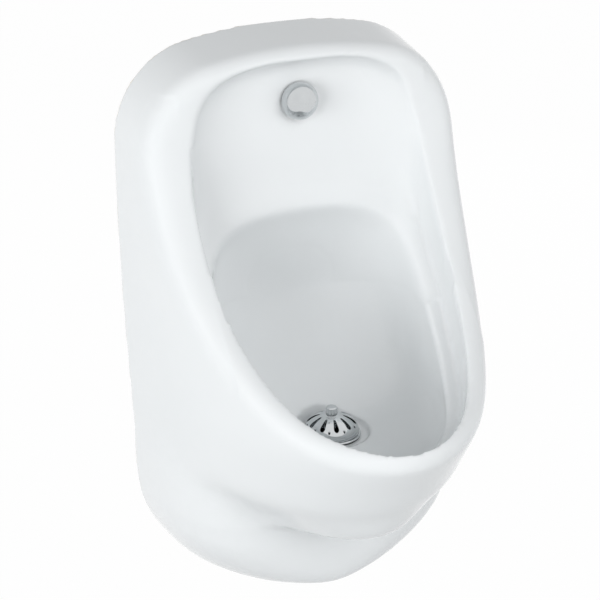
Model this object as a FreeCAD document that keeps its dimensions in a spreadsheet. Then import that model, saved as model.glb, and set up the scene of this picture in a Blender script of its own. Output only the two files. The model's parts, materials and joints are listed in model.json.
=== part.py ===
import FreeCAD, Part
import math
import os
import Sketcher

# Wall hung urinal: a hollow china body on two wall hooks, a flush spreader,
# a domed waste and a tubular trap inside the foot.
# Heights are measured from the underside of the foot and depths from the wall;
# every piece is placed so that the origin is on the wall, between the hook holes.

V = FreeCAD.Vector
doc = FreeCAD.newDocument("wall_hung_urinal")

# ---------------------------------------------------------------- driving dimensions, mm
dimensions = [
    # china, outside
    ("body_width", 350), ("body_height", 573), ("body_depth", 330), ("china_wall", 9),
    ("widest_height", 430), ("foot_half_width", 165), ("foot_rise", 165), ("foot_depth", 162),
    ("foot_flat", 30), ("crease_height", 94), ("crease_half_width", 104), ("crease_depth", 246),
    ("top_fall", 0.2), ("crown_radius", 520), ("corner_radius", 94), ("rim_round", 18),
    # rim, seen from the side
    ("rim_depth", 72), ("rim_bend_height", 500), ("lip_height", 229), ("rim_fullness", 1.6),
    # bowl
    ("bowl_half_width", 128), ("bowl_front", 317), ("bowl_top", 548), ("bowl_middle", 90),
    ("panel_depth", 52), ("dish_depth", 30), ("well_half_width", 110), ("well_front", 300),
    ("well_floor", "=seat_height + well_rise"), ("well_rise", 4), ("niche_depth", 28), ("arch_height", 400),
    # drain seat and service opening
    ("drain_depth", 132), ("seat_height", 172), ("seat_radius", 39), ("seat_thickness", 12),
    ("drain_hole_radius", 22.5), ("service_length", 84), ("service_width", 76), ("service_back", 38),
    # wall hooks
    ("mount_height", 497), ("hook_spacing", 190), ("hook_width", 34), ("hook_thick", 3),
    ("hook_hole_pitch", 20), ("hook_hole_radius", 4.25), ("hook_reach", 24), ("hook_lip", 17),
    ("hook_margin", 13), ("web_top", 472), ("web_height", 44), ("web_thick", 11), ("web_gap", 4),
    ("web_rail", 12), ("window_height", 24), ("window_play", 3), ("pad_thick", 2), ("pad_inset", 2),
    # flush inlet
    ("inlet_height", 504), ("inlet_hole_radius", 11), ("cap_radius", 18), ("cap_swell", 1.5),
    ("cap_length", 20), ("cap_wall", 1.6), ("cap_slot_width", 16), ("cap_slot_length", 8),
    ("stem_radius", 10.45), ("stem_bore", 7.5), ("stem_reach", 6), ("stem_length", 34),
    ("front_washer_thick", 2), ("rear_washer_thick", 3), ("rear_washer_radius", 17),
    ("inlet_nut_flats", 27), ("inlet_nut_height", 7), ("flush_pipe_radius", 7.5),
    ("flush_pipe_bore", 6.3), ("flush_collar_radius", 9.2), ("flush_collar_thick", 2.5),
    ("inlet_washer_thick", 2), ("flush_neck_radius", 8), ("flush_neck_reach", 0.9), ("union_height", 13),
    ("union_lip", 2.3),
    # waste
    ("flange_radius", 30), ("flange_thick", 1.6), ("flange_bevel", 0.8), ("tail_radius", 20.95),
    ("tail_bore", 17), ("tail_length", 50), ("upper_seal_thick", 2), ("lower_seal_thick", 3),
    ("seal_radius", 29), ("slip_washer_thick", 1.5), ("waste_nut_flats", 50), ("waste_nut_height", 9),
    ("bridge_width", 8), ("bridge_thick", 6), ("bridge_height", "=seat_height - bridge_drop"),
    ("bridge_drop", 14),
    # strainer
    ("dome_radius", 28), ("dome_rise", 19.5), ("dome_wall", 1.6), ("dome_brim", 1.2), ("crown_half", 5.5),
    ("dome_slots", 10), ("slot_turn", 4), ("slot_inner", 12.5), ("slot_outer", 22.5),
    ("slot_narrow", 1.0), ("slot_wide", 2.6), ("pinhole_radius", 1.1), ("pinhole_inset", 3),
    ("screw_radius", 3), ("screw_length", 34), ("knob_radius", 6), ("knob_height", 7.5),
    ("knob_grooves", 12), ("knob_groove_radius", 0.6),
    # trap
    ("trap_radius", 16), ("trap_bore", 14), ("trap_bend_radius", 32), ("trap_bend_height", 66),
    ("trap_seal_thick", 2.5), ("trap_collar_radius", 19.5), ("trap_collar_thick", 4),
    ("trap_nut_radius", 25), ("trap_nut_cover", 10), ("trap_nut_lip", 4), ("trap_nut_grips", 12),
    ("grip_radius", 2.2), ("socket_radius", 19), ("socket_top", 88), ("socket_length", 18),
    ("socket_depth", 14), ("outlet_height", 135), ("outlet_nut_radius", 24), ("outlet_nut_cover", 8),
    ("outlet_nut_lip", 5), ("outlet_seal_height", 6), ("plug_radius", 9), ("plug_boss_radius", 12),
    ("plug_boss_drop", 6), ("plug_head_radius", 13), ("plug_head_thick", 4), ("plug_length", 7),
    ("plug_seal_thick", 1),
    # clearances
    ("running_gap", 0.05), ("face_gap", 0.3), ("slip_gap", 0.3),
]

sheet = doc.addObject("Spreadsheet::Sheet", "Sizes")
for row, (alias, value) in enumerate(dimensions, start=1):
    sheet.set("A%d" % row, alias)
    sheet.set("B%d" % row, str(value))
    sheet.setAlias("B%d" % row, alias)
doc.recompute()


def size(alias):
    return float(sheet.get(alias))


# ---------------------------------------------------------------- helpers
def with_sheet(expression):
    """Write the sheet's name before each alias of an expression."""
    words = []
    word = ""
    for letter in expression + " ":
        if letter.isalnum() or letter in "_.":
            word += letter
            continue
        words.append("Sizes." + word if word[:1].isalpha() else word)
        words.append(letter)
        word = ""
    return "".join(words).strip()


workings = doc.addObject("Spreadsheet::Sheet", "Workings")
worked_out = {}


def value(expression):
    """An expression's number, worked out in a sheet of its own."""
    if expression not in worked_out:
        workings.set("A1", "=" + with_sheet(expression))
        workings.recompute()
        worked_out[expression] = float(workings.get("A1"))
    return worked_out[expression]


def new_body(label, depth="0", height="0", across="0"):
    body = doc.addObject("PartDesign::Body", label)
    body.Label = label
    body.setExpression("Placement.Base.x", with_sheet(across))
    body.setExpression("Placement.Base.y", with_sheet("-(" + depth + ")"))
    body.setExpression("Placement.Base.z", with_sheet(height + " - mount_height"))
    return body


def plane(body, role):
    return [item for item in body.Origin.OriginFeatures if item.Role == role][0]


def new_sketch(body, role, offset="0"):
    sketch = body.newObject("Sketcher::SketchObject", body.Name + "_sketch")
    sketch.AttachmentSupport = [(plane(body, role), "")]
    sketch.MapMode = "FlatFace"
    sketch.setExpression("AttachmentOffset.Base.z", with_sheet(offset))
    return sketch


def bind(sketch, kind, geometry, point, expression):
    index = sketch.addConstraint(Sketcher.Constraint(kind, -1, 1, geometry, point, value(expression)))
    sketch.setExpression("Constraints[%d]" % index, with_sheet(expression))


def pass_through(sketch, vias, corners):
    """Hold each arc on its middle point."""
    for i, via in vias:
        point = sketch.addGeometry(Part.Point(via), True)
        bind(sketch, "DistanceX", point, 1, corners[i][2])
        bind(sketch, "DistanceY", point, 1, corners[i][3])
        sketch.addConstraint(Sketcher.Constraint("PointOnObject", point, 1, i))


def outline(body, role, corners, offset="0"):
    """Closed outline. A corner is (x, y), or (x, y, via x, via y) where an arc leads to the next."""
    sketch = new_sketch(body, role, offset)
    spots = [V(value(corner[0]), value(corner[1]), 0) for corner in corners]
    count = len(corners)
    starts, ends, vias = [], [], []
    for i, corner in enumerate(corners):
        start, end = spots[i], spots[(i + 1) % count]
        if len(corner) == 2:
            sketch.addGeometry(Part.LineSegment(start, end), False)
            turned = False
        else:
            via = V(value(corner[2]), value(corner[3]), 0)
            turned = (via - start).cross(end - via).z < 0
            arc = Part.Arc(end, via, start) if turned else Part.Arc(start, via, end)
            sketch.addGeometry(arc, False)
            vias.append((i, via))
        starts.append(2 if turned else 1)
        ends.append(1 if turned else 2)
    for i, corner in enumerate(corners):
        following = (i + 1) % count
        sketch.addConstraint(Sketcher.Constraint("Coincident", i, ends[i], following, starts[following]))
        bind(sketch, "DistanceX", i, starts[i], corner[0])
        bind(sketch, "DistanceY", i, starts[i], corner[1])
    pass_through(sketch, vias, corners)
    return sketch


def circles(body, role, entries, offset="0"):
    """Circles given by expressions for centre and radius."""
    sketch = new_sketch(body, role, offset)
    for i, (x, y, radius) in enumerate(entries):
        sketch.addGeometry(Part.Circle(V(value(x), value(y), 0), V(0, 0, 1), value(radius)), False)
        index = sketch.addConstraint(Sketcher.Constraint("Radius", i, value(radius)))
        sketch.setExpression("Constraints[%d]" % index, with_sheet(radius))
        bind(sketch, "DistanceX", i, 3, x)
        bind(sketch, "DistanceY", i, 3, y)
    return sketch


def revolve(body, corners, role="XZ_Plane", axis="V_Axis"):
    sketch = outline(body, role, corners)
    turn = body.newObject("PartDesign::Revolution", body.Name + "_turn")
    turn.Profile = sketch
    turn.ReferenceAxis = (sketch, [axis])
    turn.Angle = 360
    doc.recompute()
    return turn


def revolve_y(body, corners):
    """Turn corners of depth and radius about the body's Y axis."""
    turned = []
    for corner in corners:
        flipped = ["-(" + corner[0] + ")", corner[1]]
        if len(corner) == 4:
            flipped += ["-(" + corner[2] + ")", corner[3]]
        turned.append(tuple(flipped))
    return revolve(body, turned, "YZ_Plane", "H_Axis")


def pad(body, sketch, length, midplane=False, backward=False):
    feature = body.newObject("PartDesign::Pad", body.Name + "_pad")
    feature.Profile = sketch
    feature.setExpression("Length", with_sheet(length))
    feature.Midplane = midplane
    feature.Reversed = backward
    doc.recompute()
    return feature


def pocket(body, sketch, length, midplane=False, backward=False):
    """Cut, and make sure that it took something away."""
    before = body.Tip.Shape.Volume
    feature = body.newObject("PartDesign::Pocket", body.Name + "_pocket")
    feature.Profile = sketch
    feature.setExpression("Length", with_sheet(length))
    feature.Midplane = midplane
    feature.Reversed = backward
    doc.recompute()
    assert feature.Shape.Volume < before, body.Label + ": a pocket cuts nothing"
    return feature


def around(body, feature, count, role="Z_Axis"):
    """Repeat a feature round an axis of the body."""
    pattern = body.newObject("PartDesign::PolarPattern", body.Name + "_pattern")
    pattern.Originals = [feature]
    pattern.Axis = (plane(body, role), [""])
    pattern.Angle = 360
    pattern.setExpression("Occurrences", with_sheet(count))
    body.Tip = pattern
    doc.recompute()
    return pattern


def pipe(body, kind, radius, path_corners, start):
    """Round bar or bore along a path of lines and arcs in the YZ plane, from a level start."""
    path = new_sketch(body, "YZ_Plane")
    count = len(path_corners) - 1
    vias = []
    for i in range(count):
        corner, following = path_corners[i], path_corners[i + 1]
        first, last = V(value(corner[0]), value(corner[1]), 0), V(value(following[0]), value(following[1]), 0)
        turned = False
        if len(corner) == 2:
            path.addGeometry(Part.LineSegment(first, last), False)
        else:
            via = V(value(corner[2]), value(corner[3]), 0)
            turned = (via - first).cross(last - via).z < 0
            path.addGeometry(Part.Arc(last, via, first) if turned else Part.Arc(first, via, last), False)
            vias.append((i, via))
        for end, spot in zip((2, 1) if turned else (1, 2), (corner, following)):
            bind(path, "DistanceX", i, end, spot[0])
            bind(path, "DistanceY", i, end, spot[1])
    pass_through(path, vias, path_corners)
    profile = circles(body, "XY_Plane", [("0", start, radius)], path_corners[0][1])
    doc.recompute()
    feature = body.newObject("PartDesign::" + kind, body.Name + "_pipe")
    feature.Profile = profile
    feature.Spine = (path, ["Edge%d" % (i + 1) for i in range(count)])
    doc.recompute()
    return feature


def ring(label, outer, inner, low, high, depth):
    """Plain washer round a vertical axis, low and high measured from the foot."""
    body = new_body(label, depth)
    revolve(body, [(inner, low), (outer, low), (outer, high), (inner, high)])
    return body


def ring_y(label, outer, inner, near, far):
    """Plain washer round the flush inlet's axis, between two depths."""
    body = new_body(label, "0", "inlet_height")
    revolve_y(body, [(near, inner), (near, outer), (far, outer), (far, inner)])
    return body


def hexagon(body, role, flats, offset):
    """Hexagon across flats, with its corners bound to the same size."""
    corners = []
    for i in range(6):
        angle = math.radians(60 * i)
        corners.append(("%.9f * %s" % (math.cos(angle) / math.sqrt(3), flats),
                        "%.9f * %s" % (math.sin(angle) / math.sqrt(3), flats)))
    return outline(body, role, corners, offset)


# ---------------------------------------------------------------- china body
# Both the outside and the bowl are smooth skins over level outlines, one per station,
# because the casting has no flat or round faces to sketch on.
def between(low, high, share):
    return low + (high - low) * share


def wall_half_width(height):
    """Half-width of the outline that meets the wall."""
    half = size("body_width") / 2
    foot = size("foot_half_width")
    rise = size("foot_rise")
    if height < rise:
        share = 1 - height / rise
        return max(size("foot_flat"), foot * (1 - share ** 3.4) ** (1 / 3.4))
    share = min(1.0, (height - rise) / (size("widest_height") - rise))
    return between(foot, half, math.sin(share * math.pi / 2))


def rounded_radius(angle, half_width, reach, squareness):
    """Distance from the middle of a rounded outline to its edge, in one direction."""
    c, s = abs(math.cos(angle)), math.sin(angle)
    return ((c / half_width) ** squareness + (s / reach) ** squareness) ** (-1 / squareness)


def level_outline(half_width, reach, squareness, middle, bulge=None, steps=8):
    """Front half of an outline, from the right side to the left, with a bulge where it stands out."""
    points = []
    for i in range(2 * steps + 1):
        angle = math.pi * i / (2 * steps)
        radius = rounded_radius(angle, half_width, reach, squareness)
        if bulge:
            radius = max(radius, rounded_radius(angle, bulge[0], bulge[1], 2.0))
        points.append((radius * math.cos(angle), -middle - radius * math.sin(angle)))
    return points


def skin(levels, closed):
    """Smooth surface that follows rows of points, one row per level."""
    inner = len(levels) - 3
    row_counts = [4] + [1] * (inner - 1) + [4]
    columns = len(levels[0]) - (0 if closed else 3)
    column_counts = [1] * (columns + 1) if closed else [4] + [1] * (columns - 1) + [4]
    surface = Part.BSplineSurface()
    surface.buildFromPolesMultsKnots(levels, row_counts, column_counts,
                                     [float(i) for i in range(inner + 1)],
                                     [float(i) for i in range(columns + 1)], False, closed, 3, 3)
    return surface.toShape()


def level_edges(face, height):
    edges = []
    for edge in face.Edges:
        box = edge.BoundBox
        if abs(box.ZMin - height) < 1e-6 and abs(box.ZMax - height) < 1e-6:
            edges.append(edge)
    return edges


def closed_solid(faces):
    shell = Part.makeShell(faces)
    shell.sewShape()
    solid = Part.makeSolid(shell)
    if solid.Volume < 0:
        solid.reverse()
    return solid


def hull(inset):
    """Outside of the casting before its top and front are cut, drawn in by an inset."""
    foot = size("foot_depth")
    crease = size("crease_height")
    under = size("crease_depth")
    narrow = size("crease_half_width")
    lip = size("lip_height")
    front = size("body_depth")
    high = size("body_height") + 30
    full = between(crease, lip, 0.45)
    # the wall keeps its thickness where the underside of the bulge lies nearly flat
    flat = crease + 0.8 * inset
    # height, depth and squareness of the foot, then depth of the bulge and how far it has widened
    stations = [
        (inset, foot - 30, 2.0, foot - 40, 0), (inset + 4, foot - 19, 2.0, foot - 30, 0),
        (inset + 12, foot - 11, 2.2, foot - 20, 0), (25, foot - 6, 2.5, foot - 14, 0),
        (45, foot - 2, 3.0, foot - 8, 0), (70, foot, 3.6, foot - 5, 0),
        (flat - 8, foot + 1, 3.6, foot + 4, 0), (flat - 1, foot + 2, 3.6, between(foot, under, 0.25), 0),
        (flat + 4, foot + 3, 3.6, between(foot, under, 0.62), 0),
        (flat + 9, foot + 3, 3.6, between(foot, under, 0.87), 0.02),
        (flat + 15, foot + 4, 3.5, under, 0.08),
        (between(flat, full, 0.45), foot + 6, 3.4, between(under, front, 0.09), 0.32),
        (between(flat, full, 0.75), foot + 8, 3.2, between(under, front, 0.2), 0.72),
        (full, foot + 8, 2.8, between(under, front, 0.36), 0.98),
        (between(full, lip, 0.4), foot, 2.3, between(under, front, 0.58), 1),
        (between(full, lip, 0.8), foot, 2.0, between(under, front, 0.85), 1),
        (lip + 10, foot, 2.0, front, 1), (lip + 60, foot, 2.0, front, 1), (lip + 130, foot, 2.0, front, 1),
        (lip + 210, foot, 2.0, front, 1), (lip + 290, foot, 2.0, front, 1), (high, foot, 2.0, front, 1),
    ]
    levels = []
    for height, depth, squareness, bulge_depth, widened in stations:
        half = wall_half_width(height)
        bulge = (between(narrow, half, widened) - inset, bulge_depth - inset)
        outline_points = level_outline(half - inset, depth - inset, squareness, 0, bulge, 12)
        levels.append([V(x, y, height) for x, y in outline_points])
    face = skin(levels, False)
    low, top = level_edges(face, inset)[0], level_edges(face, high)[0]
    sides = [edge for edge in face.Edges if not edge.isSame(low) and not edge.isSame(top)]
    low_line = Part.makeLine(levels[0][0], levels[0][-1])
    top_line = Part.makeLine(levels[-1][0], levels[-1][-1])
    back = Part.Wire(Part.__sortEdges__([sides[0], low_line, sides[1], top_line]))
    return closed_solid([face, Part.Face(Part.Wire([low, low_line])),
                         Part.Face(Part.Wire([top, top_line])), Part.Face(back)])


def above_top(lowered):
    """Space above the crowned top, which falls towards the front."""
    top = size("body_height") - lowered
    half = size("body_width")
    radius = size("crown_radius")
    sag = radius - math.sqrt(radius ** 2 - half ** 2)
    arc = Part.Arc(V(-half, 0, top - sag), V(0, 0, top), V(half, 0, top - sag)).toShape()
    high = top + size("body_height")
    corners = [V(half, 0, top - sag), V(half, 0, high), V(-half, 0, high), V(-half, 0, top - sag)]
    face = Part.Face(Part.Wire([arc] + Part.makePolygon(corners).Edges))
    reach = 2 * size("body_depth")
    solid = face.extrude(V(0, -reach, -reach * size("top_fall")))
    solid.translate(V(0, 1, size("top_fall")))
    return solid


def rim_line():
    """The rim from the side: upright above, then sweeping forward down to the lip."""
    bend = size("rim_bend_height")
    lip = size("lip_height")
    front = size("body_depth")
    reach = front - size("rim_depth")
    fall = bend - lip
    fullness = size("rim_fullness")
    points = [V(0, -size("rim_depth"), bend + 220), V(0, -size("rim_depth"), bend + 120),
              V(0, -size("rim_depth"), bend + 50)]
    steps = 14
    for i in range(steps):
        share = i / steps
        points.append(V(0, -front + reach * (1 - share ** fullness) ** (1 / fullness), bend - fall * share))
    points.append(V(0, -front + 12, lip + 3))
    points.append(V(0, -front, lip - 1))
    return points


def before_rim(shift):
    """Space in front of the rim, moved back into the casting by a shift."""
    curve = Part.BSplineCurve()
    curve.interpolate(rim_line())
    edge = curve.toShape()
    start, end = edge.Vertexes[0].Point, edge.Vertexes[-1].Point
    far = 2 * size("body_depth")
    low = V(0, end.y - 60, end.z - 24)
    corners = [end, low, V(0, -far, low.z), V(0, -far, start.z), start]
    face = Part.Face(Part.Wire([edge] + Part.makePolygon(corners).Edges))
    half = size("body_width")
    solid = face.extrude(V(2 * half, 0, 0))
    solid.translate(V(-half, shift, -shift))
    return solid


def long_edges(solid, low_depth, high_depth, least_height):
    """Edges that run from the wall to the rim beside the top."""
    found = []
    for edge in solid.Edges:
        box = edge.BoundBox
        deep = box.YMax - box.YMin
        if low_depth < deep < high_depth and box.ZMin > least_height and box.XMax - box.XMin < 20:
            found.append(edge)
    return found


def outside(inset):
    solid = hull(inset).cut(above_top(inset)).cut(before_rim(inset))
    rim_depth = size("rim_depth") - inset
    corners = long_edges(solid, rim_depth - 8, rim_depth + 12, size("bowl_top") - 120)
    return solid.makeFillet(size("corner_radius") - inset, corners)


def basin(stations, grown):
    """Closed hollow through stations of height, half-width, back, middle, front and squareness behind."""
    low, high = stations[0][0], stations[-1][0]
    levels = []
    for height, half_width, back, middle, front, squareness in stations:
        ahead = level_outline(half_width + grown, front - middle + grown, 2.0, middle)
        behind = level_outline(half_width + grown, middle - back + grown, squareness, 0)
        ring_points = ahead[:-1] + [(-x, -middle - y) for x, y in behind[:-1]]
        shift = grown * (2 * (height - low) / (high - low) - 1)
        levels.append([V(x, y, height + shift) for x, y in ring_points])
    face = skin(levels, True)
    caps = [Part.Face(Part.Wire(level_edges(face, row[0].z)[:1])) for row in (levels[0], levels[-1])]
    return closed_solid([face] + caps)


def dish(grown):
    """Shallow upper hollow behind the rim."""
    lip = size("lip_height")
    top = size("bowl_top")
    half = size("bowl_half_width")
    front = size("bowl_front")
    middle = size("bowl_middle")
    panel = size("panel_depth")
    floor = lip - 2 * size("dish_depth")
    # the front draws back below the lip as the hull does
    stations = [(floor, half - 22, middle - 30, middle + 8, front - 44, 2.0),
                (floor + 14, half - 16, middle - 36, middle + 6, front - 34, 2.2),
                (between(floor, lip, 0.6), half - 12, panel, middle + 5, front - 18, 2.6),
                (lip - 8, half - 9, panel, middle + 4, front - 8, 3.0),
                (lip + 4, half - 6, panel, middle + 3, front - 3, 3.2),
                (lip + 34, half - 2, panel, middle, front, 3.6)]
    for rise in (72, 120, 170, 215):
        stations.append((lip + rise, half, panel, middle, front, 4.0))
    # the upper corners draw in towards the top
    corner = ((68, 1, 0), (44, 5, 0), (25, 15, 1), (12, 31, 4), (4, 50, 10), (0, 72, 17))
    for drop, narrower, forward in corner:
        stations.append((top - drop, half - narrower, panel + forward, middle, front, 4.0))
    return basin(stations, grown).common(before_rim(size("dish_depth") + grown))


def well(grown):
    """Deep lower hollow, from the drain seat up to its arched top."""
    floor = size("well_floor")
    lip = size("lip_height")
    half = size("well_half_width")
    front = size("well_front")
    middle = size("bowl_middle")
    back = size("niche_depth")
    arch = size("arch_height")
    drain = size("drain_depth")
    seat = size("seat_radius")
    stations = [(floor, seat - 5, drain - seat + 13, drain + 4, drain + seat + 5, 2.0)]
    for share in (0.06, 0.16, 0.32, 0.54, 0.78, 1.0):
        height = between(floor, lip, share)
        spread = math.sqrt(1 - (1 - share) ** 2.2)
        stations.append((height, between(seat - 5, half - 4, spread),
                         between(drain - seat + 13, back + 26, share), between(drain + 4, middle + 6, share),
                         between(drain + seat + 5, front - 3, spread), 2.0))
    stations += [(lip + 18, half - 2, back + 15, middle + 3, front, 2.0),
                 (lip + 48, half, back + 4, middle, front, 2.0)]
    start = lip + 80
    run = 2 * (size("panel_depth") - back) + 36
    for turn in (0, 24, 42, 56, 68, 79, 90):
        angle = math.radians(turn)
        height = start + (arch - start) * math.sin(angle) / math.sin(math.radians(60))
        narrow = max(0.3, (1 - math.sin(angle) ** 5) ** 0.45)
        ahead = back + run * (1 - math.cos(angle))
        stations.append((height, half * narrow, ahead, max(middle, ahead + 20),
                         front - 30 * (1 - narrow), 2.3))
    return basin(stations, grown)


def block(x_low, x_high, y_low, y_high, z_low, z_high):
    return Part.makeBox(x_high - x_low, y_high - y_low, z_high - z_low, V(x_low, y_low, z_low))


def window_low():
    return size("web_top") - size("web_rail") - size("window_height")


def china_shape():
    """Casting with its bowl, hollow back, hook web, drain seat and openings."""
    wall = size("china_wall")
    lip = size("lip_height")
    drain = V(0, -size("drain_depth"), 0)
    up, forward = V(0, 0, 1), V(0, -1, 0)
    outer = outside(0)
    rim = [edge for edge in outer.Edges
           if edge.BoundBox.YMax < -size("rim_depth") + 8 and edge.BoundBox.ZMin > lip - 30]
    outer = outer.makeFillet(size("rim_round"), rim)
    web_front = -size("web_gap") - size("web_thick")
    web = block(-size("body_width"), size("body_width"), web_front, -size("web_gap"),
                size("web_top") - size("web_height"), size("web_top"))
    under = size("seat_height") - size("seat_thickness")
    boss = Part.makeCylinder(size("seat_radius") + 3, 2 * size("seat_thickness"), drain + up * under, up)
    cavity = outside(wall).cut(dish(wall).fuse(well(wall))).cut(web).cut(boss)
    shape = outer.cut(dish(0).fuse(well(0))).cut(cavity)
    cutters = [Part.makeCylinder(size("seat_radius"), 4 * wall, drain + up * size("seat_height"), up),
               Part.makeCylinder(size("drain_hole_radius"), 4 * wall, drain + up * (under - 1), up),
               Part.makeCylinder(size("cap_radius") + 1, 2 * wall,
                                 V(0, -size("panel_depth"), size("inlet_height")), forward),
               Part.makeCylinder(size("inlet_hole_radius"), 3 * wall,
                                 V(0, 1.5 * wall - size("panel_depth"), size("inlet_height")), forward),
               block(-size("service_width") / 2, size("service_width") / 2,
                     -size("service_back") - size("service_length"), -size("service_back"), -1, 3 * wall)]
    for side in (-1, 1):
        middle = side * size("hook_spacing") / 2
        half = size("hook_width") / 2 + size("window_play")
        cutters.append(block(middle - half, middle + half, web_front - 1, 1 - size("web_gap"),
                             window_low(), window_low() + size("window_height")))
    for cutter in cutters:
        shape = shape.cut(cutter)
    return shape.Solids[0]


def ceramic_body():
    piece = doc.addObject("Part::Feature", "ceramic_body")
    piece.Shape = china_shape()
    piece.Placement = FreeCAD.Placement(V(0, 0, -size("mount_height")), FreeCAD.Rotation())
    return piece


# ---------------------------------------------------------------- wall hooks
def hook_foot():
    """Height of a hook's tongue: a pad lies on it, and the web hangs on the pad."""
    return "web_top - web_rail - pad_thick - hook_thick"


def hanger_bracket(label, side):
    body = new_body(label, across=side + " * hook_spacing / 2")
    low = hook_foot()
    top = "mount_height + hook_hole_pitch / 2 + hook_margin"
    sketch = outline(body, "YZ_Plane", [
        ("0", low), ("0", top), ("-hook_thick", top), ("-hook_thick", low + " + hook_thick"),
        ("hook_thick - hook_reach", low + " + hook_thick"), ("hook_thick - hook_reach", low + " + hook_lip"),
        ("-hook_reach", low + " + hook_lip"), ("-hook_reach", low)])
    pad(body, sketch, "hook_width", midplane=True)
    holes = circles(body, "XZ_Plane", [("0", "mount_height + hook_hole_pitch / 2", "hook_hole_radius"),
                                       ("0", "mount_height - hook_hole_pitch / 2", "hook_hole_radius")])
    pocket(body, holes, "hook_thick + 1", backward=True)
    return body


def hanger_pad(label, side):
    """Soft pad between a hook's tongue and the china."""
    body = new_body(label, across=side + " * hook_spacing / 2")
    low = hook_foot() + " + hook_thick"
    near, far = "-(hook_thick + pad_inset / 4)", "-(web_gap + web_thick + pad_inset / 2)"
    sketch = outline(body, "YZ_Plane", [(near, low), (near, low + " + pad_thick"),
                                        (far, low + " + pad_thick"), (far, low)])
    pad(body, sketch, "hook_width - 2 * pad_inset", midplane=True)
    return body


# ---------------------------------------------------------------- flush inlet, along Y
def spreader_front_washer():
    return ring_y("spreader_front_washer", "cap_radius - 0.5", "stem_radius + running_gap",
                  "panel_depth", "panel_depth + front_washer_thick")


def spreader_cap():
    """Domed cap, open below, on a threaded collar."""
    back = "panel_depth + front_washer_thick"
    tip = back + " + cap_length"
    mid = back + " + cap_length * 0.55"
    wide = "cap_radius + cap_swell"
    body = new_body("spreader_cap", "0", "inlet_height")
    shoulder = tip + " - cap_length * 0.17"
    revolve_y(body, [
        (back, "stem_radius + running_gap"), (back, "cap_radius"),
        (mid, wide, shoulder, wide + " * 0.75"), (tip, "cap_radius * 0.25"), (tip, "0"),
        (tip + " - cap_wall", "0"),
        (tip + " - cap_wall", "cap_radius * 0.25",
         shoulder + " - cap_wall * 0.75", wide + " * 0.75 - cap_wall * 0.7"),
        (mid, wide + " - cap_wall"), (back + " + cap_wall", "cap_radius - cap_wall"),
        (back + " + cap_wall", "stem_radius + running_gap + cap_wall"),
        (back + " + stem_reach", "stem_radius + running_gap + cap_wall"),
        (back + " + stem_reach", "stem_radius + running_gap")])
    slot = outline(body, "XY_Plane", [
        ("-cap_slot_width / 2", "-(" + back + " + cap_wall)"),
        ("cap_slot_width / 2", "-(" + back + " + cap_wall)"),
        ("cap_slot_width / 2", "-(" + back + " + cap_wall + cap_slot_length)"),
        ("-cap_slot_width / 2", "-(" + back + " + cap_wall + cap_slot_length)")],
        "-(cap_radius - 2 * cap_wall)")
    pocket(body, slot, "3 * cap_wall + cap_swell")
    return body


def stem_back():
    return "panel_depth + front_washer_thick + stem_reach - stem_length"


def spreader_stem():
    return ring_y("spreader_stem", "stem_radius", "stem_bore", stem_back(),
                  "panel_depth + front_washer_thick + stem_reach")


def spreader_rear_washer():
    return ring_y("spreader_rear_washer", "rear_washer_radius", "stem_radius + running_gap",
                  "panel_depth - china_wall - rear_washer_thick", "panel_depth - china_wall")


def nut_y(label, near, far, bore):
    """Hexagon nut round the inlet's axis, before its bore's inner shape."""
    body = new_body(label, "0", "inlet_height")
    sketch = hexagon(body, "XZ_Plane", "inlet_nut_flats", near)
    pad(body, sketch, "(" + far + ") - (" + near + ")")
    hole = circles(body, "XZ_Plane", [("0", "0", bore)], near)
    pocket(body, hole, "(" + far + ") - (" + near + ")", backward=True)
    return body


def spreader_lock_nut():
    far = "panel_depth - china_wall - rear_washer_thick - face_gap"
    return nut_y("spreader_lock_nut", far + " - inlet_nut_height", far, "stem_radius + running_gap")


def inlet_washer():
    return ring_y("inlet_washer", "flush_collar_radius", "flush_pipe_bore",
                  stem_back() + " - inlet_washer_thick", stem_back())


def union_back():
    return stem_back() + " - inlet_washer_thick - flush_collar_thick - face_gap - union_lip"


def inlet_pipe():
    """Tube from the wall with a neck and a collar that the union nut draws up."""
    face = stem_back() + " - inlet_washer_thick"
    neck = union_back() + " - flush_neck_reach"
    body = new_body("inlet_pipe", "0", "inlet_height")
    revolve_y(body, [("0", "flush_pipe_bore"), ("0", "flush_pipe_radius"), (neck, "flush_pipe_radius"),
                     (neck, "flush_neck_radius"), (face + " - flush_collar_thick", "flush_neck_radius"),
                     (face + " - flush_collar_thick", "flush_collar_radius"),
                     (face, "flush_collar_radius"), (face, "flush_pipe_bore")])
    return body


def inlet_union_nut():
    back = union_back()
    body = nut_y("inlet_union_nut", back, back + " + union_height", "flush_neck_radius + running_gap")
    room = circles(body, "XZ_Plane", [("0", "0", "stem_radius + running_gap")], back + " + union_lip")
    pocket(body, room, "union_height", backward=True)
    return body


# ---------------------------------------------------------------- waste, down the drain's axis
def flange_low():
    return "seat_height + upper_seal_thick"


def flange_top():
    return flange_low() + " + flange_thick"


def tail_end():
    return flange_low() + " - tail_length"


def seal_under():
    return "seat_height - seat_thickness"


def washer_under():
    return seal_under() + " - lower_seal_thick - slip_washer_thick"


def waste_upper_seal():
    return ring("waste_upper_seal", "seal_radius", "tail_radius + running_gap",
                "seat_height", flange_low(), "drain_depth")


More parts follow.
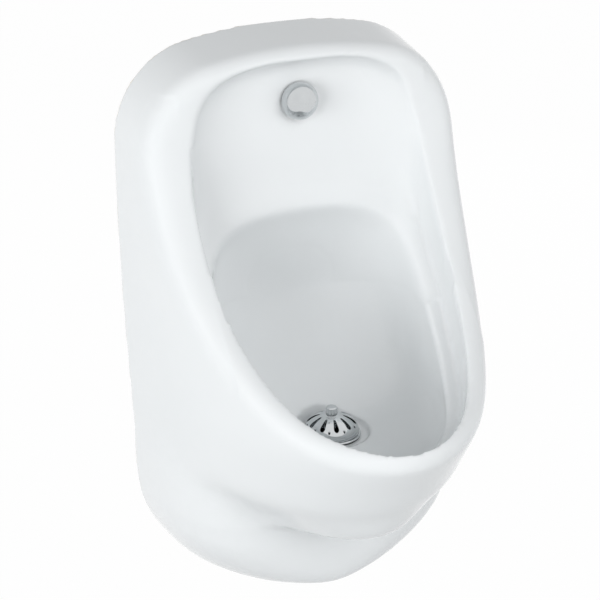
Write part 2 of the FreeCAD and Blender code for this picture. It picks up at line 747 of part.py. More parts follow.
def waste_flange():
    """Flanged tail with a bridge across its bore for the strainer's screw."""
    body = new_body("waste_flange", "drain_depth")
    revolve(body, [("tail_bore", tail_end()), ("tail_radius", tail_end()), ("tail_radius", flange_low()),
                   ("flange_radius", flange_low()), ("flange_radius", flange_top() + " - flange_bevel"),
                   ("flange_radius - flange_bevel", flange_top()), ("tail_bore", flange_top())])
    bar = outline(body, "XZ_Plane", [
        ("-(tail_bore + 1)", "bridge_height"), ("tail_bore + 1", "bridge_height"),
        ("tail_bore + 1", "bridge_height + bridge_thick"),
        ("-(tail_bore + 1)", "bridge_height + bridge_thick")])
    pad(body, bar, "bridge_width", midplane=True)
    hole = circles(body, "XY_Plane", [("0", "0", "screw_radius + running_gap")], "bridge_height")
    pocket(body, hole, "bridge_thick", backward=True)
    return body


def waste_lower_seal():
    return ring("waste_lower_seal", "seal_radius", "tail_radius + running_gap",
                seal_under() + " - lower_seal_thick", seal_under(), "drain_depth")


def waste_slip_washer():
    return ring("waste_slip_washer", "seal_radius - 1", "tail_radius + running_gap",
                washer_under(), seal_under() + " - lower_seal_thick", "drain_depth")


def waste_lock_nut():
    body = new_body("waste_lock_nut", "drain_depth")
    low = washer_under() + " - face_gap - waste_nut_height"
    pad(body, hexagon(body, "XY_Plane", "waste_nut_flats", low), "waste_nut_height")
    pocket(body, circles(body, "XY_Plane", [("0", "0", "tail_radius + running_gap")], low),
           "waste_nut_height", backward=True)
    return body


# ---------------------------------------------------------------- strainer
def dome_low():
    return flange_top() + " + face_gap"


def ellipse_point(share, inset):
    """Point of the dome's profile, a quarter ellipse, as two expressions."""
    angle = math.radians(90 * share)
    rise = "(dome_rise - dome_brim - %s)" % inset
    return ("%.6f * (dome_radius - %s)" % (math.cos(angle), inset),
            "%s + dome_brim + %.6f * %s" % (dome_low(), math.sin(angle), rise))


def dome_strainer():
    """Slotted dome on the flange, with small holes round its brim."""
    body = new_body("dome_strainer", "drain_depth")
    shares = (0.0, 0.16, 0.32, 0.56, 0.80)
    outer = [ellipse_point(share, "0") for share in shares]
    inner = [ellipse_point(share, "dome_wall") for share in shares]
    crown_high = dome_low() + " + dome_rise"
    crown_low = crown_high + " - dome_wall"
    corners = [("dome_radius - dome_wall", dome_low()), ("dome_radius", dome_low()),
               outer[0] + outer[1], outer[2] + outer[3], (outer[4][0], outer[4][1]),
               ("crown_half", crown_high), ("screw_radius + running_gap", crown_high),
               ("screw_radius + running_gap", crown_low), ("crown_half", crown_low),
               inner[4] + inner[3], inner[2] + inner[1]]
    corners.append(("dome_radius - dome_wall", dome_low() + " + dome_brim"))
    revolve(body, corners)
    slot = outline(body, "XY_Plane", [
        ("slot_inner", "-slot_narrow", "slot_inner - slot_narrow", "0"),
        ("slot_inner", "slot_narrow"),
        ("slot_outer", "slot_wide", "slot_outer + slot_wide", "0"),
        ("slot_outer", "-slot_wide")], dome_low() + " + dome_brim + 1")
    cut = pocket(body, slot, "dome_rise", backward=True)
    around(body, cut, "dome_slots")
    hole = circles(body, "XY_Plane", [
        ("(dome_radius - pinhole_inset) * %.6f" % math.cos(math.pi / 10),
         "(dome_radius - pinhole_inset) * %.6f" % math.sin(math.pi / 10), "pinhole_radius")],
        dome_low() + " + dome_brim + 1")
    cut = pocket(body, hole, "dome_rise", backward=True)
    around(body, cut, "dome_slots")
    body.setExpression("Placement.Rotation.Angle", "Sizes.slot_turn * 1 deg")
    return body


def strainer_screw():
    """Grooved knob whose shank goes through the dome into the flange's bridge."""
    body = new_body("strainer_screw", "drain_depth")
    seat = dome_low() + " + dome_rise + face_gap"
    top = seat + " + knob_height"
    revolve(body, [("0", seat + " - screw_length"), ("screw_radius", seat + " - screw_length"),
                   ("screw_radius", seat), ("knob_radius", seat), ("knob_radius", top + " - 1.2"),
                   ("knob_radius - 1.2", top), ("0", top)])
    groove = circles(body, "XY_Plane",
                     [("knob_radius + knob_groove_radius / 3", "0", "knob_groove_radius")], seat)
    cut = pocket(body, groove, "knob_height", backward=True)
    around(body, cut, "knob_grooves")
    return body


# ---------------------------------------------------------------- trap
def collar_top():
    return tail_end() + " - trap_seal_thick - face_gap"


def far_leg():
    """Along Y from the drain's axis to the trap's second leg."""
    return "2 * trap_bend_radius"


def trap_inlet_seal():
    return ring("trap_inlet_seal", "tail_radius - 2 * slip_gap", "trap_bore",
                tail_end() + " - trap_seal_thick", tail_end(), "drain_depth")


def trap_bend():
    """U bend with a collar below the waste, a socket on its far leg and a boss below for the plug."""
    body = new_body("trap_bend", "drain_depth")
    leg = far_leg()
    route = [("0", collar_top()),
             ("0", "trap_bend_height", "trap_bend_radius", "trap_bend_height - trap_bend_radius"),
             (leg, "trap_bend_height"), (leg, "socket_top - socket_length")]
    pipe(body, "AdditivePipe", "trap_radius", route, "0")
    collar = circles(body, "XY_Plane", [("0", "0", "trap_collar_radius")], collar_top())
    pad(body, collar, "trap_collar_thick", backward=True)
    socket = circles(body, "XY_Plane", [("0", leg, "socket_radius")], "socket_top")
    pad(body, socket, "socket_length", backward=True)
    low = "trap_bend_height - trap_bend_radius - trap_radius - plug_boss_drop"
    boss = circles(body, "XY_Plane", [("0", "trap_bend_radius", "plug_boss_radius")], low)
    pad(body, boss, "plug_boss_drop + trap_radius")
    pipe(body, "SubtractivePipe", "trap_bore", route, "0")
    cup = circles(body, "XY_Plane", [("0", leg, "trap_radius + slip_gap")], "socket_top")
    pocket(body, cup, "socket_depth")
    mouth = circles(body, "XY_Plane", [("0", leg, "trap_bore")], "socket_top")
    pocket(body, mouth, "socket_length + 1")
    hole = circles(body, "XY_Plane", [("0", "trap_bend_radius", "plug_radius + running_gap")], low)
    pocket(body, hole, "plug_boss_drop + trap_radius", backward=True)
    return body


def grips(body, radius, low, height):
    """Scallops round a hand nut."""
    scallop = circles(body, "XY_Plane", [(radius + " + grip_radius / 2", "0", "grip_radius")], low)
    cut = pocket(body, scallop, height, backward=True)
    around(body, cut, "trap_nut_grips")


def trap_inlet_nut():
    body = new_body("trap_inlet_nut", "drain_depth")
    lip = collar_top() + " - trap_collar_thick - face_gap"
    low = lip + " - trap_nut_lip"
    high = tail_end() + " + trap_nut_cover"
    revolve(body, [("trap_radius + slip_gap", low), ("trap_nut_radius", low), ("trap_nut_radius", high),
                   ("tail_radius + running_gap", high), ("tail_radius + running_gap", lip),
                   ("trap_radius + slip_gap", lip)])
    grips(body, "trap_nut_radius", low, "(" + high + ") - (" + low + ")")
    return body


def outlet_depth():
    return "drain_depth - " + far_leg()


def pipe_start():
    return "socket_top - socket_depth + face_gap"


def outlet_pipe():
    """Tube that stands in the trap's socket and turns level into the wall."""
    body = new_body("outlet_pipe", outlet_depth())
    bend = "(outlet_height - trap_bend_radius)"
    swing = "trap_bend_radius"
    route = [("0", pipe_start()), ("0", bend, "0.292893219 * " + swing, bend + " + 0.707106781 * " + swing),
             (swing, "outlet_height"), (outlet_depth(), "outlet_height")]
    pipe(body, "AdditivePipe", "trap_radius", route, "0")
    pipe(body, "SubtractivePipe", "trap_bore", route, "0")
    return body


def trap_outlet_seal():
    return ring("trap_outlet_seal", "socket_radius - slip_gap", "trap_radius + running_gap",
                "socket_top + face_gap", "socket_top + outlet_seal_height", outlet_depth())


def trap_outlet_nut():
    body = new_body("trap_outlet_nut", outlet_depth())
    low = "socket_top - outlet_nut_cover"
    lip = "socket_top + outlet_seal_height + face_gap"
    high = lip + " + outlet_nut_lip"
    revolve(body, [("socket_radius + running_gap", low), ("outlet_nut_radius", low),
                   ("outlet_nut_radius", high),
                   ("trap_radius + slip_gap", high), ("trap_radius + slip_gap", lip),
                   ("socket_radius + running_gap", lip)])
    grips(body, "outlet_nut_radius", low, "(" + high + ") - (" + low + ")")
    return body


def boss_low():
    return "trap_bend_height - trap_bend_radius - trap_radius - plug_boss_drop"


def cleaning_plug_seal():
    return ring("cleaning_plug_seal", "plug_boss_radius", "plug_radius + running_gap",
                boss_low() + " - plug_seal_thick", boss_low(), "drain_depth - trap_bend_radius")


def cleaning_plug():
    """Screw plug with a slotted head."""
    body = new_body("cleaning_plug", "drain_depth - trap_bend_radius")
    seat = boss_low() + " - plug_seal_thick - face_gap"
    low = seat + " - plug_head_thick"
    revolve(body, [("0", low), ("plug_head_radius", low), ("plug_head_radius", seat), ("plug_radius", seat),
                   ("plug_radius", seat + " + plug_length"), ("0", seat + " + plug_length")])
    slot = outline(body, "XY_Plane", [("-plug_radius", "-1"), ("plug_radius", "-1"),
                                      ("plug_radius", "1"), ("-plug_radius", "1")], low)
    pocket(body, slot, "plug_head_thick / 2", backward=True)
    return body


# ---------------------------------------------------------------- build, check, export
pieces = [
    ceramic_body(),
    hanger_bracket("hanger_bracket_left", "-1"), hanger_bracket("hanger_bracket_right", "1"),
    hanger_pad("hanger_pad_left", "-1"), hanger_pad("hanger_pad_right", "1"),
    spreader_front_washer(), spreader_cap(), spreader_stem(), spreader_rear_washer(), spreader_lock_nut(),
    inlet_washer(), inlet_pipe(), inlet_union_nut(),
    waste_upper_seal(), waste_flange(), waste_lower_seal(), waste_slip_washer(), waste_lock_nut(),
    dome_strainer(), strainer_screw(),
    trap_inlet_seal(), trap_bend(), trap_inlet_nut(), outlet_pipe(), trap_outlet_seal(), trap_outlet_nut(),
    cleaning_plug_seal(), cleaning_plug(),
]
doc.recompute()

for item in doc.Objects:
    assert not {"Invalid", "Error"} & set(item.State), item.Name + " failed"
for piece in pieces:
    assert not piece.Shape.isNull() and piece.Shape.isValid(), piece.Label + " has no valid shape"
    assert len(piece.Shape.Solids) == 1, piece.Label + " isn't one solid"

os.makedirs("parts", exist_ok=True)
for piece in pieces:
    piece.Shape.exportStep("parts/" + piece.Label + ".step")
    print(piece.Label, round(piece.Shape.Volume))
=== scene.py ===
import json
import math

import bpy
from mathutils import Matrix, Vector

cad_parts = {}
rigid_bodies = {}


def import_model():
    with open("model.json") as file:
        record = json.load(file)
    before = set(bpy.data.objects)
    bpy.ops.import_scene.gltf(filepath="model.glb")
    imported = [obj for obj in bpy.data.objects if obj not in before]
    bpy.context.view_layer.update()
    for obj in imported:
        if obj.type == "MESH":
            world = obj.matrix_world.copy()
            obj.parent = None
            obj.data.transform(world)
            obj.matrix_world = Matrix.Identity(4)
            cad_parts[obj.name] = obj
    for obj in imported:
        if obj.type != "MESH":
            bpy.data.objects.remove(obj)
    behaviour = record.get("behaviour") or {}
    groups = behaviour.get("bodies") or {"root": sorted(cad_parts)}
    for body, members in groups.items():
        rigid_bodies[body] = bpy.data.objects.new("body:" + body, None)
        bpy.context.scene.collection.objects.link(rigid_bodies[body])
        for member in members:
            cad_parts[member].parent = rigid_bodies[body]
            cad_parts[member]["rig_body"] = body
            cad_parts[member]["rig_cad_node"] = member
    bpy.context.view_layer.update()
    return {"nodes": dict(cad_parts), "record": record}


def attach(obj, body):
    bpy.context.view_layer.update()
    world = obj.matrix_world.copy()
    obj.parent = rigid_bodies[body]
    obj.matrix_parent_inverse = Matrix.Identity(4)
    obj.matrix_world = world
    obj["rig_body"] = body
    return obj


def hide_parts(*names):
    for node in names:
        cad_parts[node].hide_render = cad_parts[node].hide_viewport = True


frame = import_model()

nodes = frame["nodes"]
scene = bpy.context.scene
scene.view_settings.view_transform = "Standard"
print("frame loaded:", len(nodes), "nodes")


# ---------- small helpers ----------
def linear(hexColour):
    # sRGB hex to the linear colour that a socket takes
    channels = [int(hexColour[i:i + 2], 16) / 255 for i in (1, 3, 5)]
    return [c / 12.92 if c <= 0.04045 else ((c + 0.055) / 1.055) ** 2.4 for c in channels] + [1.0]


def perMetre(millimetres):
    # a pattern's scale from the real size of one wave or cell
    return 1000 / millimetres


def addNode(tree, kind, settings=None, links=None):
    node = tree.nodes.new(kind)
    for name, value in (settings or {}).items():
        if isinstance(name, str) and name in node.bl_rna.properties:
            setattr(node, name, value)
        else:
            node.inputs[name].default_value = value
    for name, (source, output) in (links or {}).items():
        tree.links.new(source.outputs[output], node.inputs[name])
    return node


def newMaterial(name):
    material = bpy.data.materials.new(name)
    material.use_nodes = True
    material.node_tree.nodes.clear()
    return material, material.node_tree


def finishMaterial(tree, shader):
    addNode(tree, "ShaderNodeOutputMaterial", links={"Surface": (shader, 0)})


def selectOnly(thing):
    bpy.ops.object.select_all(action="DESELECT")
    thing.select_set(True)
    bpy.context.view_layer.objects.active = thing


def dress(thing, material):
    thing.data.materials.clear()
    thing.data.materials.append(material)


def applyModifier(thing, kind, **settings):
    selectOnly(thing)
    modifier = thing.modifiers.new(kind.title(), kind)
    for name, value in settings.items():
        setattr(modifier, name, value)
    bpy.ops.object.modifier_apply(modifier=modifier.name)


def copyOfNode(name, newName):
    # a merged copy of a CAD node's mesh, to be finished further
    selectOnly(nodes[name])
    bpy.ops.object.duplicate()
    copy = bpy.context.object
    copy.name = newName
    copy.parent = None
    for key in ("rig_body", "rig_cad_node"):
        del copy[key]
    bpy.ops.object.mode_set(mode="EDIT")
    bpy.ops.mesh.select_all(action="SELECT")
    bpy.ops.mesh.remove_doubles(threshold=0.00001)
    bpy.ops.object.mode_set(mode="OBJECT")
    return copy


# ---------- camera, as the photograph was taken ----------
cameraView = {"place": (-0.7516, -1.6000, 0.4886), "down": 22, "turn": -26, "lens": 108, "sensor": 36}
bpy.ops.object.camera_add(location=cameraView["place"],
                          rotation=(math.radians(90 - cameraView["down"]), 0,
                                    math.radians(cameraView["turn"])))
camera = bpy.context.object
camera.data.lens = cameraView["lens"]
camera.data.sensor_width = cameraView["sensor"]
scene.camera = camera
print("camera placed")


# ---------- floor, world and lamps ----------
studio = {
    "floorHeight": -0.95, "floorSize": 16, "floorColour": "#B9BBBC", "floorGlow": 0.985,
    "worldColour": "#F4F6F8", "worldLight": 0.35,
    # name, place, aimed at, width, height, power in watts
    "lamps": (
        ("keyLamp", (-2.6, -1.5, 0.2), (0, -0.15, -0.2), 1.8, 1.8, 58),
        ("frontLamp", (0.5, -2.7, 1.3), (0, -0.15, -0.25), 2.6, 1.6, 36),
        ("fillLamp", (2.2, -1.8, 0.0), (0, -0.15, -0.2), 1.6, 1.6, 14),
        ("leftRearLamp", (-1.6, 2.6, 0.1), (0, -0.15, -0.2), 1.6, 1.6, 24),
        ("rightRearLamp", (1.8, 2.4, 0.2), (0, -0.15, -0.2), 1.6, 1.6, 24),
    ),
}


def whiteRays(tree):
    # the rays that see the background as white: the camera's, reflections and what shows through glass
    rays = addNode(tree, "ShaderNodeLightPath")
    seen = addNode(tree, "ShaderNodeMath", {"operation": "MAXIMUM"},
                   {0: (rays, "Is Camera Ray"), 1: (rays, "Is Glossy Ray")})
    return addNode(tree, "ShaderNodeMath", {"operation": "MAXIMUM"},
                   {0: (seen, 0), 1: (rays, "Is Transmission Ray")})


def makeFloor():
    bpy.ops.mesh.primitive_plane_add(size=studio["floorSize"], location=(0, 0, studio["floorHeight"]))
    floor = bpy.context.object
    floor.name = "studioFloor"
    # pale painted floor, which the camera and reflections see nearly white with the shadow kept
    material, tree = newMaterial("pale painted floor")
    seen = whiteRays(tree)
    share = addNode(tree, "ShaderNodeMath", {"operation": "MULTIPLY", 1: studio["floorGlow"]},
                    {0: (seen, 0)})
    place = addNode(tree, "ShaderNodeTexCoord")
    grain = addNode(tree, "ShaderNodeTexNoise", {"Scale": perMetre(60), "Detail": 3},
                    {"Vector": (place, "Object")})
    tone = addNode(tree, "ShaderNodeMapRange", {"To Min": 0.5, "To Max": 0.6}, {"Value": (grain, 0)})
    paint = addNode(tree, "ShaderNodeBsdfPrincipled", {"Base Color": linear(studio["floorColour"])},
                    {"Roughness": (tone, 0)})
    glow = addNode(tree, "ShaderNodeEmission", {"Color": (1, 1, 1, 1), "Strength": 1.0})
    mixed = addNode(tree, "ShaderNodeMixShader", links={0: (share, 0), 1: (paint, 0), 2: (glow, 0)})
    finishMaterial(tree, mixed)
    dress(floor, material)


def makeWorld():
    world = bpy.data.worlds.new("studioWorld")
    world.use_nodes = True
    tree = world.node_tree
    tree.nodes.clear()
    seen = whiteRays(tree)
    soft = addNode(tree, "ShaderNodeBackground", {"Color": linear(studio["worldColour"]),
                                                  "Strength": studio["worldLight"]})
    white = addNode(tree, "ShaderNodeBackground", {"Color": (1, 1, 1, 1), "Strength": 1.0})
    mixed = addNode(tree, "ShaderNodeMixShader", links={0: (seen, 0), 1: (soft, 0), 2: (white, 0)})
    addNode(tree, "ShaderNodeOutputWorld", links={"Surface": (mixed, 0)})
    scene.world = world


def makeLamp(name, place, target, width, height, power):
    aim = (Vector(target) - Vector(place)).to_track_quat("-Z", "Y").to_euler()
    bpy.ops.object.light_add(type="AREA", location=place, rotation=aim)
    lamp = bpy.context.object
    lamp.name = name
    lamp.data.shape = "RECTANGLE"
    lamp.data.size = width
    lamp.data.size_y = height
    lamp.data.energy = power
    # the glaze shows no lamp as a bright rectangle
    lamp.visible_glossy = False


makeFloor()
makeWorld()
for lampSettings in studio["lamps"]:
    makeLamp(*lampSettings)
print("studio lit")


# ---------- materials ----------
def makeChina():
    # vitreous china, slip cast, glazed and fired: bright, faintly cool white under a clear glassy
    # coat whose slow waves bend reflections; the edge against the wall is wiped clean of glaze and
    # stays matt and creamy
    material, tree = newMaterial("glazed vitreous china")
    place = addNode(tree, "ShaderNodeTexCoord")
    cloud = addNode(tree, "ShaderNodeTexNoise", {"Scale": perMetre(140), "Detail": 2},
                    {"Vector": (place, "Object")})
    glaze = addNode(tree, "ShaderNodeMix",
                    {"data_type": "RGBA", 6: linear("#E1E4E5"), 7: linear("#E6E8E9")},
                    {0: (cloud, 0)})
    axes = addNode(tree, "ShaderNodeSeparateXYZ", links={0: (place, "Object")})
    wavy = addNode(tree, "ShaderNodeTexNoise", {"Scale": perMetre(9), "Detail": 3},
                   {"Vector": (place, "Object")})
    ragged = addNode(tree, "ShaderNodeMath", {"operation": "MULTIPLY_ADD", 1: 0.004, 2: -0.002},
                     {0: (wavy, 0)})
    edge = addNode(tree, "ShaderNodeMath", {"operation": "ADD"}, {0: (axes, "Y"), 1: (ragged, 0)})
    bare = addNode(tree, "ShaderNodeMapRange", {"From Min": -0.0032, "From Max": -0.0018},
                   {"Value": (edge, 0)})
    colour = addNode(tree, "ShaderNodeMix", {"data_type": "RGBA", 7: linear("#E3DCCD")},
                     {0: (bare, 0), 6: (glaze, 2)})
    smooth = addNode(tree, "ShaderNodeMapRange", {"To Min": 0.07, "To Max": 0.13}, {"Value": (cloud, 0)})
    rough = addNode(tree, "ShaderNodeMix", {"data_type": "FLOAT", 3: 0.75},
                    {0: (bare, 0), 2: (smooth, 0)})
    # glaze waves of about 7 mm, a few hundredths of a millimetre high
    peel = addNode(tree, "ShaderNodeTexNoise", {"Scale": perMetre(7), "Detail": 1},
                   {"Vector": (place, "Object")})
    bump = addNode(tree, "ShaderNodeBump", {"Strength": 0.25, "Distance": 0.00006},
                   {"Height": (peel, 0)})
    shader = addNode(tree, "ShaderNodeBsdfPrincipled", {"IOR": 1.52},
                     {"Base Color": (colour, 2), "Roughness": (rough, 0), "Normal": (bump, 0)})
    finishMaterial(tree, shader)
    return material


def makeChrome():
    # chromium plate on polished brass: a mirror a little darker and cooler than silver, with wiped haze
    material, tree = newMaterial("polished chrome plate")
    place = addNode(tree, "ShaderNodeTexCoord")
    haze = addNode(tree, "ShaderNodeTexNoise", {"Scale": perMetre(11), "Detail": 4},
                   {"Vector": (place, "Object")})
    rough = addNode(tree, "ShaderNodeMapRange",
                    {"From Min": 0.35, "From Max": 0.7, "To Min": 0.05, "To Max": 0.14},
                    {"Value": (haze, 0)})
    tint = addNode(tree, "ShaderNodeMix",
                   {"data_type": "RGBA", 6: linear("#C4C7C9"), 7: linear("#D2D5D6")},
                   {0: (haze, 0)})
    wave = addNode(tree, "ShaderNodeTexNoise", {"Scale": perMetre(5), "Detail": 1},
                   {"Vector": (place, "Object")})
    bump = addNode(tree, "ShaderNodeBump", {"Strength": 0.15, "Distance": 0.00004},
                   {"Height": (wave, 0)})
    shader = addNode(tree, "ShaderNodeBsdfPrincipled", {"Metallic": 1.0},
                     {"Base Color": (tint, 2), "Roughness": (rough, 0), "Normal": (bump, 0)})
    finishMaterial(tree, shader)
    return material


def makeZinc():
    # bright zinc plate on pressed steel: grey with a faint blue and straw passivation in cells of a few mm
    material, tree = newMaterial("zinc plated steel")
    place = addNode(tree, "ShaderNodeTexCoord")
    cells = addNode(tree, "ShaderNodeTexVoronoi", {"Scale": perMetre(4)}, {"Vector": (place, "Object")})
    clouds = addNode(tree, "ShaderNodeTexNoise", {"Scale": perMetre(18), "Detail": 5},
                     {"Vector": (place, "Object")})
    cool = addNode(tree, "ShaderNodeMix",
                   {"data_type": "RGBA", 6: linear("#A9AEB4"), 7: linear("#C2C5C6")},
                   {0: (cells, 0)})
    tint = addNode(tree, "ShaderNodeMix", {"data_type": "RGBA", 7: linear("#C6C0A6")},
                   {0: (clouds, 0), 6: (cool, 2)})
    rough = addNode(tree, "ShaderNodeMapRange", {"To Min": 0.3, "To Max": 0.48}, {"Value": (clouds, 0)})
    # rolling marks of the sheet, drawn coarser than real so that they show
    turned = addNode(tree, "ShaderNodeMapping", {"Scale": (1, 1, 0.04)}, {"Vector": (place, "Object")})
    marks = addNode(tree, "ShaderNodeTexNoise", {"Scale": perMetre(0.9), "Detail": 2},
                    {"Vector": (turned, 0)})
    bump = addNode(tree, "ShaderNodeBump", {"Strength": 0.3, "Distance": 0.00003},
                   {"Height": (marks, 0)})
    shader = addNode(tree, "ShaderNodeBsdfPrincipled", {"Metallic": 1.0},
                     {"Base Color": (tint, 2), "Roughness": (rough, 0), "Normal": (bump, 0)})
    finishMaterial(tree, shader)
    return material


def makeBrass():
    # turned brass left bare: warm yellow, satin from the tool, a little browner where it has tarnished
    material, tree = newMaterial("turned brass")
    place = addNode(tree, "ShaderNodeTexCoord")
    tarnish = addNode(tree, "ShaderNodeTexNoise", {"Scale": perMetre(12), "Detail": 4},
                      {"Vector": (place, "Object")})
    tint = addNode(tree, "ShaderNodeMix",
                   {"data_type": "RGBA", 6: linear("#D8B66A"), 7: linear("#B08A4A")},
                   {0: (tarnish, 0)})
    rough = addNode(tree, "ShaderNodeMapRange", {"To Min": 0.22, "To Max": 0.42},
                    {"Value": (tarnish, 0)})
    turning = addNode(tree, "ShaderNodeTexNoise", {"Scale": perMetre(0.8), "Detail": 1},
                      {"Vector": (place, "Object")})
    bump = addNode(tree, "ShaderNodeBump", {"Strength": 0.25, "Distance": 0.00003},
                   {"Height": (turning, 0)})
    shader = addNode(tree, "ShaderNodeBsdfPrincipled", {"Metallic": 1.0},
                     {"Base Color": (tint, 2), "Roughness": (rough, 0), "Normal": (bump, 0)})
    finishMaterial(tree, shader)
    return material


def makeRubber():
    # moulded EPDM rubber: near black, dull, with a pale bloom in soft clouds
    material, tree = newMaterial("EPDM rubber")
    place = addNode(tree, "ShaderNodeTexCoord")
    bloom = addNode(tree, "ShaderNodeTexNoise", {"Scale": perMetre(6), "Detail": 4},
                    {"Vector": (place, "Object")})
    tint = addNode(tree, "ShaderNodeMix",
                   {"data_type": "RGBA", 6: linear("#161617"), 7: linear("#2B2B2C")},
                   {0: (bloom, 0)})
    rough = addNode(tree, "ShaderNodeMapRange", {"To Min": 0.62, "To Max": 0.85}, {"Value": (bloom, 0)})
    skin = addNode(tree, "ShaderNodeTexNoise", {"Scale": perMetre(0.6), "Detail": 2},
                   {"Vector": (place, "Object")})
    bump = addNode(tree, "ShaderNodeBump", {"Strength": 0.4, "Distance": 0.00005}, {"Height": (skin, 0)})
    shader = addNode(tree, "ShaderNodeBsdfPrincipled", {"IOR": 1.52},
                     {"Base Color": (tint, 2), "Roughness": (rough, 0), "Normal": (bump, 0)})
    finishMaterial(tree, shader)
    return material


def makePolypropylene():
    # injection moulded polypropylene: milky white, waxy sheen, fine spark-eroded grain from the mould
    material, tree = newMaterial("moulded polypropylene")
    place = addNode(tree, "ShaderNodeTexCoord")
    flow = addNode(tree, "ShaderNodeTexNoise", {"Scale": perMetre(35), "Detail": 3},
                   {"Vector": (place, "Object")})
    tint = addNode(tree, "ShaderNodeMix",
                   {"data_type": "RGBA", 6: linear("#E6E6E1"), 7: linear("#EFEFEB")},
                   {0: (flow, 0)})
    rough = addNode(tree, "ShaderNodeMapRange", {"To Min": 0.3, "To Max": 0.42}, {"Value": (flow, 0)})
    grain = addNode(tree, "ShaderNodeTexNoise", {"Scale": perMetre(0.7), "Detail": 2},
                    {"Vector": (place, "Object")})
    bump = addNode(tree, "ShaderNodeBump", {"Strength": 0.3, "Distance": 0.00003},
                   {"Height": (grain, 0)})
    shader = addNode(tree, "ShaderNodeBsdfPrincipled", {"IOR": 1.49},
                     {"Base Color": (tint, 2), "Roughness": (rough, 0), "Normal": (bump, 0)})
    finishMaterial(tree, shader)
    return material


finishes = {"vitreous_china": makeChina(), "chromed_metal": makeChrome(), "zinc_plated_steel": makeZinc(),
            "raw_brass": makeBrass(), "seal_rubber": makeRubber(),
            "white_polypropylene": makePolypropylene()}
print("materials made")


# ---------- china body: the cast form, its edges softened as slip and glaze round them ----------
chinaBody = {
    "voxel": 0.0020,       # metres between the points of the new skin
    "softening": 0.5,      # how far a round moves a point towards its neighbours' middle
    "softRounds": 22,      # rounds everywhere but at the fittings, which round the bowl's inner edge
    "ledgeRounds": 220,    # rounds over the ledge between panel and deep bowl
    "rimRounds": 110,      # rounds over the outer corner of the rim, which make it one broad roll
    "mostFaces": 180000,
    # zones in metres: the ledge as low and high corners, the rim as limits on each axis
    "ledge": ((-0.125, -0.16, -0.20), (0.125, -0.035, -0.02)),
    "rimBeside": 0.134, "rimBefore": -0.045, "rimLow": -0.30, "rimHigh": 0.03,
    # the seats of the waste and of the spreader aren't softened
    "drain": (0, -0.132), "drainReach": 0.052, "drainLow": -0.345, "drainHigh": -0.300,
    "inlet": (0, 0.007), "inletReach": 0.026, "inletFront": -0.075, "inletBack": -0.03,
}


def isLedge(point):
    low, high = chinaBody["ledge"]
    return all(low[i] < point[i] < high[i] for i in range(3))


def isRim(point):
    # the outer corner of the rim at both sides and round the lip
    besideBowl = abs(point.x) > chinaBody["rimBeside"] and point.y < chinaBody["rimBefore"]
    return besideBowl and chinaBody["rimLow"] < point.z < chinaBody["rimHigh"]


def isFitting(point):
    besideDrain = math.hypot(point.x - chinaBody["drain"][0], point.y - chinaBody["drain"][1])
    besideInlet = math.hypot(point.x - chinaBody["inlet"][0], point.z - chinaBody["inlet"][1])
    atDrain = (besideDrain < chinaBody["drainReach"]
               and chinaBody["drainLow"] < point.z < chinaBody["drainHigh"])
    atInlet = (besideInlet < chinaBody["inletReach"]
               and chinaBody["inletFront"] < point.y < chinaBody["inletBack"])
    return atDrain or atInlet


def groupOf(thing, name, test):
    group = thing.vertex_groups.new(name=name)
    chosen = [vertex.index for vertex in thing.data.vertices if test(vertex.co)]
    group.add(chosen, 1.0, "REPLACE")
    return name


def soften(thing, rounds, group):
    applyModifier(thing, "SMOOTH", factor=chinaBody["softening"], iterations=rounds, vertex_group=group)


def makeBody():
    body = copyOfNode("ceramic_body", "glazed_body")
    applyModifier(body, "REMESH", mode="VOXEL", voxel_size=chinaBody["voxel"], use_smooth_shade=True)
    free = groupOf(body, "free", lambda point: not isFitting(point))
    ledge = groupOf(body, "ledgeZone", isLedge)
    soften(body, chinaBody["softRounds"], free)
    soften(body, chinaBody["ledgeRounds"], ledge)
    soften(body, chinaBody["rimRounds"], groupOf(body, "rimZone", isRim))
    body.vertex_groups.clear()
    applyModifier(body, "DECIMATE", ratio=chinaBody["mostFaces"] / len(body.data.polygons))
    print("china faces:", len(body.data.polygons))
    selectOnly(body)
    bpy.ops.object.shade_smooth()
    dress(body, finishes["vitreous_china"])
    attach(body, "urinal")
    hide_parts("ceramic_body")


makeBody()
print("china body made")


# ---------- spreader cap: one smooth blown dome, open below for the water ----------
capDome = {
    # in metres
    "inletHeight": 0.007,     # the inlet's axis above the origin
    "back": -0.0541,          # the brim, just before its washer
    "widest": -0.0585, "radius": 0.0192, "bulge": 0.0152, "wall": 0.0016,
    "collarRadius": 0.0121, "collarWall": 0.0016, "collarLength": 0.0058,
    "slotHalfWidth": 0.008, "slotDepth": 0.010,
    "slotBelow": 0.008,       # the slot lies lower than this under the inlet's axis
    "dome": (128, 64), "collarSides": 96, "creaseAngle": 35,
}


def cutAcross(point, normal, **clearing):
    bpy.ops.mesh.select_all(action="SELECT")
    bpy.ops.mesh.bisect(plane_co=point, plane_no=normal, **clearing)


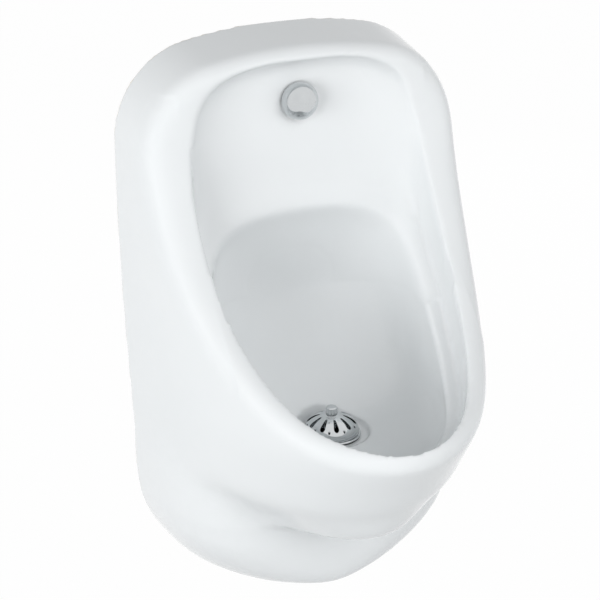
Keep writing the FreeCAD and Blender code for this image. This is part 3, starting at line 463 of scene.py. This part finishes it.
def makeCap():
    segments, rings = capDome["dome"]
    slotEnd = capDome["back"] - capDome["slotDepth"]
    bpy.ops.mesh.primitive_uv_sphere_add(segments=segments, ring_count=rings, radius=1,
                                         location=(0, capDome["widest"], capDome["inletHeight"]),
                                         rotation=(math.radians(90), 0, 0),
                                         scale=(capDome["radius"], capDome["radius"], capDome["bulge"]))
    cap = bpy.context.object
    cap.name = "chrome_dome_cap"
    bpy.ops.object.transform_apply(location=True, rotation=True, scale=True)
    bpy.ops.object.mode_set(mode="EDIT")
    # the back comes off at the brim, then the slot's sides and end are scored
    cutAcross((0, capDome["back"], 0), (0, 1, 0), clear_outer=True)
    for side in (-1, 1):
        cutAcross((side * capDome["slotHalfWidth"], 0, 0), (1, 0, 0))
    cutAcross((0, slotEnd, 0), (0, 1, 0))
    bpy.ops.mesh.select_all(action="DESELECT")
    bpy.ops.object.mode_set(mode="OBJECT")
    for face in cap.data.polygons:
        middle = face.center
        face.select = (abs(middle.x) < capDome["slotHalfWidth"] and middle.y > slotEnd
                       and middle.z < capDome["inletHeight"] - capDome["slotBelow"])
    bpy.ops.object.mode_set(mode="EDIT")
    bpy.ops.mesh.delete(type="FACE")
    bpy.ops.mesh.select_all(action="SELECT")
    bpy.ops.mesh.normals_make_consistent(inside=False)
    bpy.ops.object.mode_set(mode="OBJECT")
    applyModifier(cap, "SOLIDIFY", thickness=capDome["wall"], offset=-1)
    addCollar(cap)
    selectOnly(cap)
    bpy.ops.object.shade_smooth_by_angle(angle=math.radians(capDome["creaseAngle"]))
    dress(cap, finishes["chromed_metal"])
    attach(cap, "urinal")
    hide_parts("spreader_cap")


def addCollar(cap):
    # the threaded collar inside, which screws on the stem
    length = capDome["collarLength"]
    bpy.ops.mesh.primitive_cylinder_add(vertices=capDome["collarSides"], radius=capDome["collarRadius"],
                                        depth=length, rotation=(math.radians(90), 0, 0),
                                        location=(0, capDome["back"] - length / 2, capDome["inletHeight"]),
                                        end_fill_type="NOTHING")
    collar = bpy.context.object
    bpy.ops.object.transform_apply(location=True, rotation=True, scale=True)
    applyModifier(collar, "SOLIDIFY", thickness=capDome["collarWall"], offset=-1)
    cap.select_set(True)
    bpy.context.view_layer.objects.active = cap
    bpy.ops.object.join()


makeCap()
print("spreader cap made")


# ---------- the other pieces keep their CAD shape ----------
for part in frame["record"]["subparts"]:
    dress(nodes[part["node"]], finishes[part["material_slot"]])
print("CAD nodes dressed")
